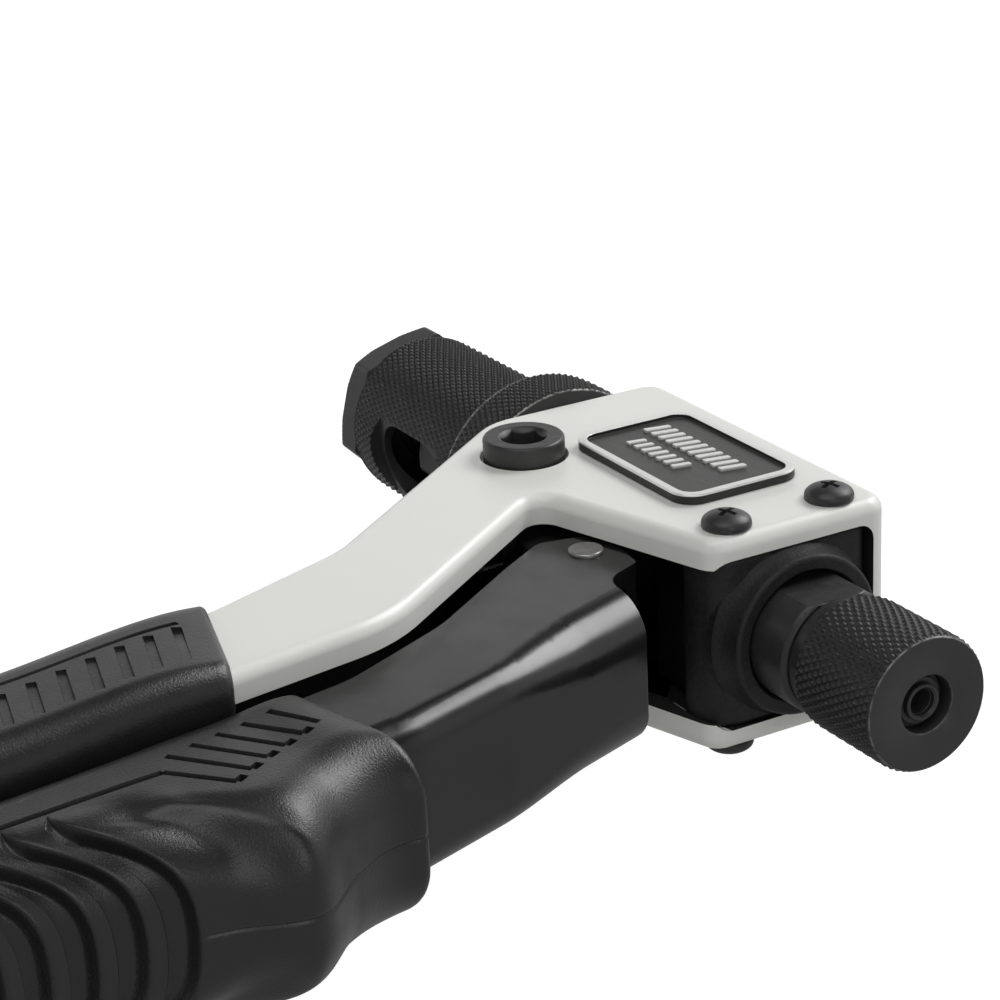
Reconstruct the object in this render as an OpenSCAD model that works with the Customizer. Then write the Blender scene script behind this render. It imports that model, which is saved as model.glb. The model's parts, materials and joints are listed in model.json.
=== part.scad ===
// Hand riveter for threaded rivet nuts, lying on its side.
// X runs along the pulling axis and points out of the nose, Y points to the handles, Z is up.
// The origin is on the pulling axis, at the front face of the nosepiece.
// The handles are drawn closed: opening turns the lever about +Z and lets the pull rod forward.

/* [Head] */
// Distance from the nosepiece's face back to the middle of the head
nose_reach = 110; // [105:1:120]
// Thickness of the cast frame, across both plates
frame_t = 35; // [34.6:0.1:36]
// Thickness of the frame's top and bottom plates and of its spine
plate_t = 3.5; // [3.2:0.1:3.6]
// Rear face of the frame, behind the middle of the head
head_back = 19; // [18.8:0.1:20]
// Front face of the frame, ahead of the middle of the head
head_front = 47.8; // [47.6:0.1:48.2]
// Outside of the closed spine, from the pulling axis
spine_y = 18.2; // [18:0.1:19]
// Height of the opening between the turned-in lips on the handle side
mouth_h = 25.6; // [25.4:0.1:26]

/* [Nose] */
// Radius of the knurled nose sleeve
sleeve_r = 15.2; // [15:0.1:16]
// Radius of the knurled lock ring
ring_r = 19.4; // [18:0.1:20.5]
// Distance across the flats of the nose sleeve's hexagon
sleeve_hex = 27; // [26:0.5:28]
// Nominal diameter of the mandrel's thread
mandrel_d = 8; // [7.9:0.05:8.1]
// How far the mandrel stands out of the nosepiece with the handles closed
mandrel_out = 9; // [6:0.5:12]

/* [Pull rod and knob] */
// Radius of the pull rod's collar, behind the head
collar_r = 10.2; // [9.8:0.1:10.3]
// Height of the collar's wrench flats above the axis
collar_flat = 8.8; // [8.5:0.1:9.2]
// Radius of the spinning knob over its knurl
knob_r = 10.8; // [10.4:0.1:11.2]
// Length of the spinning knob
knob_l = 18; // [16:0.5:22]
// Radius of the spindle that the knob turns
spindle_r = 3.7; // [3.6:0.05:3.8]

/* [Lever] */
// Pivot bolt, ahead of the middle of the head
pivot_x = 30; // [29.5:0.1:30.5]
// Pivot bolt, to the handle side of the pulling axis
pivot_y = 18.5; // [18.2:0.1:18.8]
// Height of the pressed lever channel
lever_h = 24.4; // [24:0.1:24.6]
// Wall thickness of the pressed lever channel
lever_t = 2.3; // [2:0.1:2.5]
// Angle that the lever opens through, in degrees
opening = 13.5; // [10:0.5:13.5]
// Radius of the yoke's lobes, which move the pull rod
lobe_r = 5; // [4.5:0.1:5]

/* [Grips] */
// Half the height of the fixed grip
fixed_grip_h = 19.3; // [19:0.1:20]
// Half the height of the lever grip at its swell
lever_grip_h = 16.5; // [15:0.5:18]
// Height of the slot in the fixed grip that the lever grip closes into
grip_slot = 26.4; // [26:0.1:27]

/* [Hidden] */

$fn = 64;
eps = 0.05;
running = 0.06;          // radial clearance of every turning or sliding fit
half_t = frame_t / 2;
inner_h = frame_t - 2 * plate_t;
barrel_r = 12;           // thread on the nose barrel
barrel_bore = 6.6;
bolt_r = 4;              // M8 pivot bolt
bush_r = 5.2;            // bush that the lever turns on
screw_x = -14;           // cover screws, from the middle of the head
screw_y = [9.1, -9.9];
screw_r = 2;
rivet = [0.8, 25];       // rivet that joins the yoke plates to the lever
arm = pivot_y / cos(opening / 2);        // puts the lobes on the pulling axis at both ends
lobe = [pivot_x - arm * sin(opening / 2), 0];
lobe_gap = 0.05;
collar_end = -30;        // rear end of the pull rod
collar_front = -9.5;     // where the collar steps down to the rod
rod_r = 8;
neck_r = 6.8;
flange_r = 10.5;
flange_t = 3.2;
washer_t = 3.1;
knob_face = collar_end - washer_t - 0.15;
boss_x = -22.2;          // rear lip of the head insert
yoke_in = 7.1;           // yoke plates, from the middle plane
yoke_out = 9.7;
sleeve_rear = 59;
sleeve_hex_x = 99.3;
sleeve_front = 106;
barrel_front = 66;
chamber_r = 11.6;
chamber_end = 95;
holder_x = [68, 84];
holder_mid = (holder_x[0] + holder_x[1]) / 2;   // the spindle ends and the mandrel begins here
shank_r = mandrel_d / 2 - 0.25;
socket_sink = 1.6;       // depth of the flat recesses under the bolt head and the nut

ALONG = [0, 90, 0];      // turns +Z onto +X

// ---- outlines -------------------------------------------------------------------------------

function unit(v) = v / norm(v);

// Points of one rounded corner at p, between its neighbours a and b
function corner(p, a, b, r, n) =
    let (u = unit(a - p), w = unit(b - p), half = acos(u * w) / 2, reach = r / tan(half),
         c = p + unit(u + w) * r / sin(half), s = p + u * reach - c, e = p + w * reach - c,
         from = atan2(s.y, s.x), turn = (atan2(e.y, e.x) - from + 540) % 360 - 180)
    [for (i = [0:n]) c + r * [cos(from + turn * i / n), sin(from + turn * i / n)]];

// Closed outline through [x, y, radius] corners
function rounded(p, n = 8) =
    [for (i = [0:len(p) - 1])
        let (q = p[i], a = p[(i + len(p) - 1) % len(p)], b = p[(i + 1) % len(p)])
        each (q[2] > 0 ? corner([q.x, q.y], [a.x, a.y], [b.x, b.y], q[2], n) : [[q.x, q.y]])];

function left(a, b, d) = let (u = unit(b - a)) [a + d * [-u.y, u.x], u];

function meet(k, m) = k[0] + k[1] * cross(m[0] - k[0], m[1]) / cross(k[1], m[1]);

// The same corners, with the edge after corner i moved inwards by d[i]
function inset(p, d) =
    [for (i = [0:len(p) - 1])
        let (last = (i + len(p) - 1) % len(p), next = (i + 1) % len(p),
             a = [p[last].x, p[last].y], q = [p[i].x, p[i].y], b = [p[next].x, p[next].y],
             bend = sign(cross(q - a, b - q)), m = meet(left(a, q, d[last]), left(q, b, d[i])))
        [m.x, m.y, max(0.5, p[i][2] - bend * (d[last] + d[i]) / 2)]];

// Return spring about the pivot bolt: [x, y, z, heading] from the leg on the frame's spine,
// round the coil and out to the leg that bears on the yoke rivet
coil_r = 6.5;
spring_wire = 0.8;
coil_half = 3;
coil_steps = 60;
fixed_leg = 21.5;
lever_leg = 35;
spring_turn = 3.732 * 360;
spring_end = 180 + spring_turn;
spring_path = concat(
    [[-coil_r, fixed_leg, coil_half, -90]],
    [for (i = [0:coil_steps]) let (a = 180 + spring_turn * i / coil_steps)
        [coil_r * cos(a), coil_r * sin(a), coil_half * (1 - 2 * i / coil_steps), a + 90]],
    [[coil_r * cos(spring_end) - lever_leg * sin(spring_end),
      coil_r * sin(spring_end) + lever_leg * cos(spring_end), -coil_half, spring_end + 90]]
);

function spring_section(k, sides) =
    [for (j = [0:sides - 1]) let (a = 360 * j / sides)
        [k.x + spring_wire * cos(a) * sin(k[3]), k.y - spring_wire * cos(a) * cos(k[3]),
         k.z + spring_wire * sin(a)]];

// Frame in plan, anticlockwise from the spine's rear corner; the last corners are the handle side
frame_plan = [
    [-head_back, -spine_y, 4], [head_front, -spine_y, 4], [head_front, 15.5, 12], [13.2, 61.5, 25],
    [3.6, 87.5, 40], [-29.5, 258, 6], [-47.5, 258, 6], [-18.7, 96, 12], [-13.7, 65.6, 30],
    [15.3, 25.4, 3.2], [-head_back, 14.8, 4]
];
lip_w = 3;
frame_cavity = inset(frame_plan,
    [plate_t, plate_t, plate_t, plate_t, plate_t, plate_t, lip_w, lip_w, lip_w, lip_w, -1]);

// Pressed lever in plan, anticlockwise from its corner nearest the knob
lever_plan = [
    [-20.5, 27.6, 2], [-8.4, 26.4, 1.5], [-6.6, 20.8, 2.5], [6, 18.5, 2], [8.2, 29.5, 3],
    [2.8, 38.1, 30], [-9.9, 56.4, 30], [-18.8, 76, 20], [-52.5, 250, 6], [-70, 250, 6],
    [-37.2, 75, 30], [-31.3, 57.1, 40]
];
lever_back = [
    [-20.5, 27.6, 1], [-17, 27.3, 0], [-22.6, 42.5, 0], [-28.3, 56.3, 40], [-34.4, 75, 30],
    [-65.8, 242, 1], [-68.5, 242, 1], [-37.2, 75, 30], [-31.3, 57.1, 40]
];

// ---- helpers --------------------------------------------------------------------------------

module at_head() {
    translate([-nose_reach, 0, 0]) children();
}

module slab(points, height) {
    linear_extrude(height = height, center = true) polygon(points);
}

module layer(points, low, high) {
    translate([0, 0, low]) linear_extrude(height = high - low) polygon(points);
}

// Cylinder on the pulling axis between two stations
module shaft(x0, x1, r) {
    translate([x0, 0, 0]) rotate(ALONG) cylinder(h = x1 - x0, r = r);
}

// Ring or tube on the pulling axis with both outer edges chamfered
module tube(x0, x1, r, bore, edge = 0.6) {
    translate([x0, 0, 0]) rotate(ALONG) rotate_extrude()
        polygon([[bore, 0], [r - edge, 0], [r, edge], [r, x1 - x0 - edge], [r - edge, x1 - x0],
                 [bore, x1 - x0]]);
}

module hexagon(x0, x1, flats, turn = 0) {
    translate([x0, 0, 0]) rotate(ALONG) rotate([0, 0, turn])
        cylinder(h = x1 - x0, r = flats / sqrt(3), $fn = 6);
}

module mirrored() {
    children();
    mirror([0, 0, 1]) children();
}

module pin_at(p, z0, z1, r) {
    translate([p.x, p.y, z0]) cylinder(h = z1 - z0, r = r);
}

// Bar between two round ends, for links that swing about a pin; waist is its width, below 1
module link(a, ra, b, rb, low, high, waist = 0.95) {
    side = waist * unit([b.y - a.y, a.x - b.x]);
    pin_at(a, low, high, ra);
    pin_at(b, low, high, rb);
    layer([a + side * ra, b + side * rb, b - side * rb, a - side * ra], low, high);
}

// Thin slice of a grip between a far point and a near point in plan
module grip_slice(station) {
    far = [station[0], station[1]];
    near = [station[2], station[3]];
    h = station[4];
    soft = station[5];
    middle = (far + near) / 2;
    w = norm(far - near) / 2;
    translate([middle.x, middle.y, 0])
        rotate([0, 0, atan2(far.y - near.y, far.x - near.x)])
            rotate([90, 0, 0])
                linear_extrude(height = 0.1, center = true)
                    polygon(rounded([[-w, -h, soft], [w, -h, soft], [w, h, soft], [-w, h, soft]], 5));
}

module grip_body(stations) {
    for (i = [0:len(stations) - 2]) hull() {
        grip_slice(stations[i]);
        grip_slice(stations[i + 1]);
    }
}

// ---- frame ----------------------------------------------------------------------------------

module frame() {
    mouth = [[-40, 11.5], [-16, 11.5], [19.5, 22.4], [12, 36], [-3.6, 58], [-11.4, 78],
             [-14.8, 96], [-44, 262], [-80, 262], [-80, 11.5]];
    color("gainsboro") at_head() difference() {
        slab(rounded(frame_plan), frame_t);
        slab(rounded(frame_cavity), inner_h);
        slab(mouth, mouth_h);
        slab([[-30, -14.4], [6, -14.4], [6, 15.6], [-14, 15.6], [-30, 12]], inner_h);
        shaft(head_front - 10, head_front + 1, barrel_r + eps);
        pin_at([pivot_x, pivot_y], -half_t - 1, half_t + 1, bolt_r + 0.15);
        mirrored() pin_at([pivot_x, pivot_y], half_t - socket_sink, half_t + 1, 7.2);
        for (y = screw_y) pin_at([screw_x, y], -half_t - 1, half_t + 1, screw_r + 0.15);
    }
}

module head_insert() {
    body = [[-18.6, -14.3, 2], [4, -14.3, 1], [4, 10.8, 1], [-8.5, 10.8, 1.5], [-8.5, 15.4, 1],
            [-18.6, 15.4, 5]];
    color("dimgray") at_head() difference() {
        union() {
            slab(rounded(body), inner_h - 0.1);
            translate([boss_x, 0, 0]) rotate(ALONG)
                cylinder(h = 4, r1 = 12.6, r2 = 13.9);
        }
        intersection() {
            shaft(boss_x - 1, collar_front + 5, collar_r + running);
            cube([80, 60, 2 * (collar_flat + running)], center = true);
        }
        shaft(collar_front, 8, rod_r + running);
        translate([boss_x - 0.1, 0, 0]) rotate(ALONG) cylinder(h = 1.2, r1 = 11.5, r2 = 10.3);
        for (y = screw_y) mirrored() pin_at([screw_x, y], half_t - 9, half_t, screw_r + 0.02);
    }
}

module nameplate() {
    plan = [[-4.8, -12, 4], [29.1, -12, 4], [29.1, 10.5, 4], [-4.8, 10.5, 4]];
    rim = 1.4;
    color("silver") at_head() difference() {
        layer(rounded(plan), half_t, half_t + 1.7);
        layer(rounded(inset(plan, [rim, rim, rim, rim])), half_t + 1.1, half_t + 2);
    }
}

module cross_recess() {
    for (turn = [0, 90]) rotate([0, 0, turn])
        translate([0, 0, 2]) cube([3.6, 0.8, 2.6], center = true);
}

module plate_screws() {
    head_r = 3.8;
    head_h = 2.5;
    color("black") at_head() for (y = screw_y) mirrored()
        translate([screw_x, y, half_t]) difference() {
            union() {
                rotate_extrude() polygon(concat([[0, 0], [head_r, 0], [head_r, 0.7]],
                    [for (a = [15:15:75]) [head_r * cos(a), 0.7 + (head_h - 0.7) * sin(a)]],
                    [[0, head_h]]));
                translate([0, 0, -8.5]) cylinder(h = 8.6, r = screw_r);
            }
            cross_recess();
        }
}

module pivot_bolt() {
    color("black") at_head() translate([pivot_x, pivot_y, 0]) difference() {
        union() {
            translate([0, 0, half_t - socket_sink]) rotate_extrude()
                polygon([[0, 0], [6.65, 0], [6.65, 4.4], [6.05, 5], [0, 5]]);
            translate([0, 0, -half_t + 0.2]) cylinder(h = frame_t - socket_sink, r = bolt_r);
        }
        translate([0, 0, half_t]) cylinder(h = 4, r = 3.7, $fn = 6);
    }
}

module pivot_nut() {
    color("black") at_head() translate([pivot_x, pivot_y, 0]) difference() {
        translate([0, 0, -half_t - 3.4]) cylinder(h = 5, r = 7, $fn = 6);
        translate([0, 0, -half_t - 4]) cylinder(h = 6, r = bolt_r + 0.02);
    }
}

module pivot_bush() {
    color("silver") at_head() translate([pivot_x, pivot_y, 0]) difference() {
        cylinder(h = inner_h - 0.1, r = bush_r, center = true);
        cylinder(h = inner_h + 1, r = bolt_r + running, center = true);
    }
}

module pivot_washers() {
    color("silver") at_head() mirrored() difference() {
        pin_at([pivot_x, pivot_y], lever_h / 2 + eps, inner_h / 2 - eps, 8);
        pin_at([pivot_x, pivot_y], lever_h / 2 - 1, inner_h / 2 + 1, bush_r + running);
    }
}

module nose_barrel() {
    wall = head_front - plate_t;
    color("dimgray") at_head() {
        tube(wall - 1.7, wall - 0.1, barrel_r + 0.7, barrel_bore, 0.3);
        tube(wall - 0.2, barrel_front, barrel_r, barrel_bore);
    }
}

fixed_stations = [
    [7.4, 85.7, -19.4, 93.2, 18.7, 3], [6.5, 90, -20.2, 98, fixed_grip_h, 4],
    [0.4, 119.5, -24.9, 124, fixed_grip_h, 4], [-9, 165, -32.9, 168, 19.2, 5],
    [-22.5, 232, -45, 235, 19, 6], [-35, 295, -56, 298, 19, 6], [-37.6, 306, -57, 309, 16, 6]
];

module fixed_grip() {
    tang = inset(frame_plan, [for (i = frame_plan) -eps]);
    slot = [[-18.6, 84], [-22, 98], [-51, 262], [-80, 262], [-45, 84]];
    color("black") at_head() difference() {
        grip_body(fixed_stations);
        slab(rounded(tang), frame_t + 2 * eps);
        slab(slot, grip_slot);
    }
}

module return_spring() {
    sides = 8;
    color("silver") at_head() translate([pivot_x, pivot_y, 0]) polyhedron(
        points = [for (k = spring_path) each spring_section(k, sides)],
        faces = concat(
            [[for (j = [0:sides - 1]) j]],
            [for (i = [0:len(spring_path) - 2], j = [0:sides - 1]) let (n = (j + 1) % sides)
                [i * sides + j, (i + 1) * sides + j, (i + 1) * sides + n, i * sides + n]],
            [[for (j = [sides - 1:-1:0]) (len(spring_path) - 1) * sides + j]]
        )
    );
}

// ---- nose -----------------------------------------------------------------------------------

module lock_ring() {
    color("dimgray") at_head() tube(head_front + 0.7, sleeve_rear - 0.3, ring_r, barrel_r + running, 1);
}

module nose_sleeve() {
    window_r = 9.3;
    color("dimgray") at_head() difference() {
        union() {
            tube(sleeve_rear, sleeve_hex_x + 0.05, sleeve_r, 5, 0.5);
            intersection() {
                hexagon(sleeve_hex_x, sleeve_front, sleeve_hex, 44);
                tube(sleeve_hex_x - 2, sleeve_front, 15.4, 1, 1.4);
            }
        }
        shaft(sleeve_rear - 1, barrel_front + 1, barrel_r + running);
        shaft(barrel_front, chamber_end, chamber_r);
        shaft(chamber_end - 1, sleeve_front + 1, 7.6);
        rotate([-9.5, 0, 0]) translate([75.2, 0, 0]) rotate([-90, 0, 0]) {
            cylinder(h = 30, r = window_r);
            translate([8.6, 0, 0]) cylinder(h = 30, r = window_r);
            translate([4.3, 0, 15]) cube([8.6, 2 * window_r, 30], center = true);
        }
    }
}

module nosepiece() {
    flange = nose_reach - sleeve_front;
    bore = mandrel_d / 2 + 0.12;
    color("silver") {
        tube(-flange - 9, -flange + 0.1, 7.55, bore, 0.5);
        tube(-flange, 0, 10.6, bore, 1);
    }
}

// ---- lever ----------------------------------------------------------------------------------

module lever() {
    ear = lever_h / 2;
    color("black") at_head() difference() {
        union() {
            mirrored() {
                layer(rounded(lever_plan), ear - lever_t, ear);
                link([pivot_x, pivot_y], 8.5, rivet, 6, ear - lever_t, ear);
            }
            slab(rounded(lever_back), lever_h);
        }
        pin_at([pivot_x, pivot_y], -ear - 1, ear + 1, bush_r + running);
        pin_at(rivet, -ear - 1, ear + 1, 2.55);
    }
}

lever_stations = [
    [-17.8, 85.3, -45.5, 77.6, 13, 5], [-18.8, 88.5, -45.2, 81.5, 14.2, 6],
    [-20.8, 98, -49, 90.5, 14.3, 6], [-22.7, 107, -56, 99.5, 15, 7],
    [-24.8, 116, -53, 110, 15.5, 7.5], [-28, 134, -51.8, 130, 16, 8],
    [-31.8, 152, -55, 148, lever_grip_h, 8], [-44.5, 215, -68, 210, 16, 8],
    [-57.4, 278, -81, 273, 15.5, 8], [-62, 299, -85, 294.5, 13.5, 8], [-65, 304, -83, 300, 9, 6]
];

module lever_grip() {
    tang = inset(lever_plan, [for (i = lever_plan) -eps]);
    color("black") at_head() difference() {
        grip_body(lever_stations);
        slab(rounded(tang), lever_h + 2 * eps);
    }
}

module yoke_plates() {
    color("dimgray") at_head() mirrored() difference() {
        union() {
            link([pivot_x, pivot_y], 8.5, rivet, 5.5, yoke_in, yoke_out);
            link([pivot_x, pivot_y], lobe_r, lobe, lobe_r, yoke_in, yoke_out, 0.76);
        }
        pin_at([pivot_x, pivot_y], yoke_in - 1, yoke_out + 1, bush_r + running);
        pin_at(rivet, yoke_in - 1, yoke_out + 1, 2.55);
    }
}

module yoke_rivet() {
    head_h = (mouth_h - lever_h) / 2 - eps;
    color("silver") at_head() {
        pin_at(rivet, -lever_h / 2 - 0.1, lever_h / 2 + 0.1, 2.5);
        mirrored() translate([rivet.x, rivet.y, lever_h / 2]) cylinder(h = head_h, r1 = 2.9, r2 = 2.4);
    }
}

// ---- pull rod and spindle -------------------------------------------------------------------

module pull_rod() {
    rear_flange = lobe.x - lobe_r - lobe_gap;
    front_flange = lobe.x + lobe_r + lobe_gap;
    color("dimgray") at_head() difference() {
        union() {
            intersection() {
                tube(collar_end, collar_front, collar_r, 1, 0.7);
                cube([80, 60, 2 * collar_flat], center = true);
            }
            shaft(collar_front - 0.1, rear_flange - flange_t, rod_r);
            shaft(rear_flange - flange_t, rear_flange, flange_r);
            shaft(rear_flange - 0.1, front_flange + 0.1, neck_r);
            shaft(front_flange, front_flange + flange_t, flange_r);
        }
        shaft(collar_end - 1, head_front, spindle_r + running);
    }
}

module thrust_washer() {
    color("silver") at_head()
        tube(knob_face + 0.08, collar_end - 0.05, 9.4, spindle_r + running, 0.3);
}

module spindle() {
    rear = knob_face - knob_l + 1.8;
    color("dimgray") at_head() difference() {
        shaft(rear, holder_mid, spindle_r);
        shaft(rear - 1, rear + 10, 2);
    }
}

module spin_knob() {
    rear = knob_face - knob_l;
    color("dimgray") at_head() translate([rear, 0, 0]) rotate(ALONG) rotate_extrude()
        polygon([[4.5, 0.4], [4.9, 0], [knob_r - 1.4, 0], [knob_r, 1.2], [knob_r, knob_l - 0.5],
                 [knob_r - 0.5, knob_l], [spindle_r + 0.01, knob_l], [spindle_r + 0.01, 3.2],
                 [4.5, 3.2]]);
}

module spindle_clip() {
    clip_x = lobe.x + lobe_r + lobe_gap + flange_t;
    color("silver") at_head() tube(clip_x + 0.1, clip_x + 1.2, 6.2, spindle_r + 0.01, 0.1);
}

module mandrel_holder() {
    color("dimgray") at_head() difference() {
        intersection() {
            hexagon(holder_x[0], holder_x[1], 18.4, 10);
            tube(holder_x[0], holder_x[1], 10.4, 1, 0.8);
        }
        shaft(holder_x[0] - 1, holder_mid + 0.1, spindle_r + 0.01);
        shaft(holder_mid, holder_x[1] + 1, shank_r + 0.01);
    }
}

module mandrel() {
    tip = 0.7;
    color("silver") difference() {
        union() {
            shaft(holder_mid + 0.2 - nose_reach, 0.1, shank_r);
            shaft(0, mandrel_out - tip, mandrel_d / 2);
            translate([mandrel_out - tip, 0, 0]) rotate(ALONG)
                cylinder(h = tip, r1 = mandrel_d / 2, r2 = mandrel_d / 2 - tip);
        }
        translate([mandrel_out - 3, 0, 0]) rotate(ALONG) cylinder(h = 4, r = 1);
    }
}

frame();
head_insert();
nameplate();
plate_screws();
pivot_bolt();
pivot_nut();
pivot_bush();
pivot_washers();
nose_barrel();
fixed_grip();
return_spring();
lock_ring();
nose_sleeve();
nosepiece();
lever();
lever_grip();
yoke_plates();
yoke_rivet();
pull_rod();
thrust_washer();
spindle();
spin_knob();
spindle_clip();
mandrel_holder();
mandrel();
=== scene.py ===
"""Looks of the hand riveter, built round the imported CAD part.

Sizes are in millimetres from the middle of the head, on the pulling axis: x points out of the nose,
y to the handles and z out of the nameplate. to_frame() turns them into metres in the CAD's frame.
"""

import json
import math

import bmesh
import bpy
import numpy as np
from mathutils import Matrix, Vector


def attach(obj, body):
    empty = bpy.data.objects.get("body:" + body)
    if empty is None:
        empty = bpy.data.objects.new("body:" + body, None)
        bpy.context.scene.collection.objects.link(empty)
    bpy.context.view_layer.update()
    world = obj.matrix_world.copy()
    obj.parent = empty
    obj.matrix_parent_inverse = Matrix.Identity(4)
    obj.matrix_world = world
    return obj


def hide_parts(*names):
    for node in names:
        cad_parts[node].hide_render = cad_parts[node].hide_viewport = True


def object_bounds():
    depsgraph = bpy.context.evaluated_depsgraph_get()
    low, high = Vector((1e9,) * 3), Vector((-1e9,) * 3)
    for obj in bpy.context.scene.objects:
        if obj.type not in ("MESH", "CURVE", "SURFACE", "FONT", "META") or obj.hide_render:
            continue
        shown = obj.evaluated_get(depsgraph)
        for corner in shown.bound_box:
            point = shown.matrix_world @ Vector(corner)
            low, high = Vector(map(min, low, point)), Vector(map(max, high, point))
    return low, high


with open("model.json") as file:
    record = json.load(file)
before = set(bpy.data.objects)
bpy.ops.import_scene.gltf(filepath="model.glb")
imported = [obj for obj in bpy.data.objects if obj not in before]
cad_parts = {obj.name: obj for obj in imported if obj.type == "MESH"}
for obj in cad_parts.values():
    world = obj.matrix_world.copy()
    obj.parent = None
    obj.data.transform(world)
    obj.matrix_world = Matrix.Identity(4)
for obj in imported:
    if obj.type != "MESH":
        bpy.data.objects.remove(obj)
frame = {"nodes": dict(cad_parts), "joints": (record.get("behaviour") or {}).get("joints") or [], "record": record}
cad_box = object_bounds()

MM = 0.001
TAU = 2 * math.pi
JOINTS = {joint["name"]: joint for joint in frame["joints"]}
HEAD = np.array([JOINTS["spindle_spin"]["pos_m"][0], 0, 0])
PIVOT = ((np.array(JOINTS["lever_hinge"]["pos_m"]) - HEAD) / MM)[:2]

HALF_T = 17.5            # half the thickness of the frame
PLATE_T = 3.5
MOUTH = 12.8             # half the opening between the turned-in lips
LEVER_HALF = 12.2
SHEET = 2.3              # sheet that the lever is pressed from
INSERT_HALF = 13.9
PIN = [0.8, 25.0]        # pin that joins the lever and the yoke
SCREWS = [[-14, 9.1], [-14, -9.9]]

# Plans: [x, y, corner radius], anticlockwise
FRAME_PLAN = [
    [-19, -18.2, 4], [47.8, -18.2, 4], [47.8, 15.5, 12], [13.2, 61.5, 25], [3.6, 87.5, 40],
    [-29.5, 258, 6], [-47.5, 258, 6], [-18.7, 96, 12], [-13.7, 65.6, 30], [15.3, 25.4, 3.2],
    [-19, 14.8, 4],
]
LEVER_BACK = [[-16, 14], [-31.3, 57.1], [-37.2, 75], [-68.5, 242]]
LEVER_PLAN = [
    [-20.9, 27.8, 0.8], [-10.4, 28.6, 5], [-7.2, 20.9, 1], [6, 18.9, 2], [8.2, 29.5, 3],
    [2.8, 38.1, 30], [-9.9, 56.4, 30], [-18.8, 76, 20], [-52.5, 250, 6], [-68.5, 242, 6],
    [-37.2, 75, 30], [-31.3, 57.1, 40],
]
PLATE_PLAN = [[-4.8, -12, 4], [29.1, -12, 4], [29.1, 10.5, 4], [-4.8, 10.5, 4]]
PLATE_RIM = 1.4

# Sections of the grips: [far x, far y, near x, near y, half height, far radius, near radius]
FIXED_GRIP = [
    [7.4, 85.9, -19.4, 93.2, 18.5, 6, 4], [6.5, 90, -20.2, 98, 19.2, 6, 4.5],
    [0.4, 119.5, -24.9, 124, 19.3, 5, 5.5], [-9, 165, -32.9, 168, 19.2, 5.5, 6],
    [-22.5, 232, -45, 235, 19, 6, 6], [-35, 295, -56, 298, 19, 7, 7],
    [-37.6, 306, -57, 309, 16, 8, 8],
]
LEVER_GRIP = [
    [-17.8, 85.3, -45.5, 77.6, 13.2, 4, 8.5], [-18.8, 88.5, -45.2, 81.5, 14.1, 4.5, 9],
    [-20.8, 98, -49, 90.5, 14.3, 5, 10], [-22.7, 107, -56, 99.5, 15, 6, 11],
    [-24.8, 116, -53, 110, 15.5, 6.5, 11], [-28, 134, -51.8, 130, 16, 7, 11],
    [-31.8, 152, -55, 148, 16.5, 7, 11], [-44.5, 215, -68, 210, 16, 7, 11],
    [-57.4, 278, -81, 273, 15.5, 7, 11], [-62, 299, -85, 294.5, 13.5, 7, 10],
    [-65, 304, -83, 300, 9, 5, 6],
]


# ---- plans and sections ---------------------------------------------------------------------

def to_frame(points):
    return np.asarray(points, float) * MM + HEAD


def unit(v):
    v = np.asarray(v, float)
    return v / np.linalg.norm(v)


def rounded(plan, step=0.6):
    """Closed outline through [x, y, radius] corners, with points about step apart"""
    corners = np.asarray(plan, float)
    path = []
    for before, corner, after in zip(np.roll(corners, 1, 0), corners, np.roll(corners, -1, 0)):
        p, radius = corner[:2], corner[2]
        to_before, to_after = unit(before[:2] - p), unit(after[:2] - p)
        half = math.acos(float(np.clip(to_before @ to_after, -1, 1))) / 2
        centre = p + unit(to_before + to_after) * radius / math.sin(half)
        start = p + to_before * radius / math.tan(half) - centre
        end = p + to_after * radius / math.tan(half) - centre
        first = math.atan2(start[1], start[0])
        turn = (math.atan2(end[1], end[0]) - first + math.pi) % TAU - math.pi
        for a in np.linspace(first, first + turn, max(4, int(radius * abs(turn) / step))):
            path.append(centre + radius * np.array([math.cos(a), math.sin(a)]))
    return even(path, step)


def even(path, step, closed=True):
    """The same path with evenly spaced points"""
    path = np.asarray(path, float)
    if closed:
        path = np.vstack([path, path[:1]])
    along = np.concatenate([[0], np.cumsum(np.linalg.norm(np.diff(path, axis=0), axis=1))])
    count = max(8, round(along[-1] / step))
    at = np.linspace(0, along[-1], count, endpoint=not closed)
    return np.stack([np.interp(at, along, path[:, k]) for k in range(path.shape[1])], 1)


def outward(outline):
    """Outward unit normals of an anticlockwise outline"""
    run = np.roll(outline, -1, 0) - np.roll(outline, 1, 0)
    run /= np.linalg.norm(run, axis=1)[:, None]
    return np.stack([run[:, 1], -run[:, 0]], 1)


def inset(plan, depths):
    """The plan's corners with the edge after corner i moved inwards by depths[i]"""
    corners = np.asarray(plan, float)
    result = []
    count = len(corners)
    for i in range(count):
        before, p, after = corners[i - 1][:2], corners[i][:2], corners[(i + 1) % count][:2]
        u, w = unit(p - before), unit(after - p)
        a = before + depths[i - 1] * np.array([-u[1], u[0]])
        b = p + depths[i] * np.array([-w[1], w[0]])
        cross = u[0] * w[1] - u[1] * w[0]
        reach = ((b - a)[0] * w[1] - (b - a)[1] * w[0]) / cross
        q = a + u * reach
        radius = corners[i][2] - np.sign(cross) * (depths[i - 1] + depths[i]) / 2
        result.append([q[0], q[1], max(0.5, radius)])
    return result


def near_line(points, a, b):
    """Distance from each plan point to the stretch between a and b"""
    a, b = np.asarray(a, float), np.asarray(b, float)
    share = np.clip(((points - a) @ (b - a)) / ((b - a) @ (b - a)), 0, 1)
    return np.linalg.norm(points - a - share[..., None] * (b - a), axis=-1)


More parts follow.
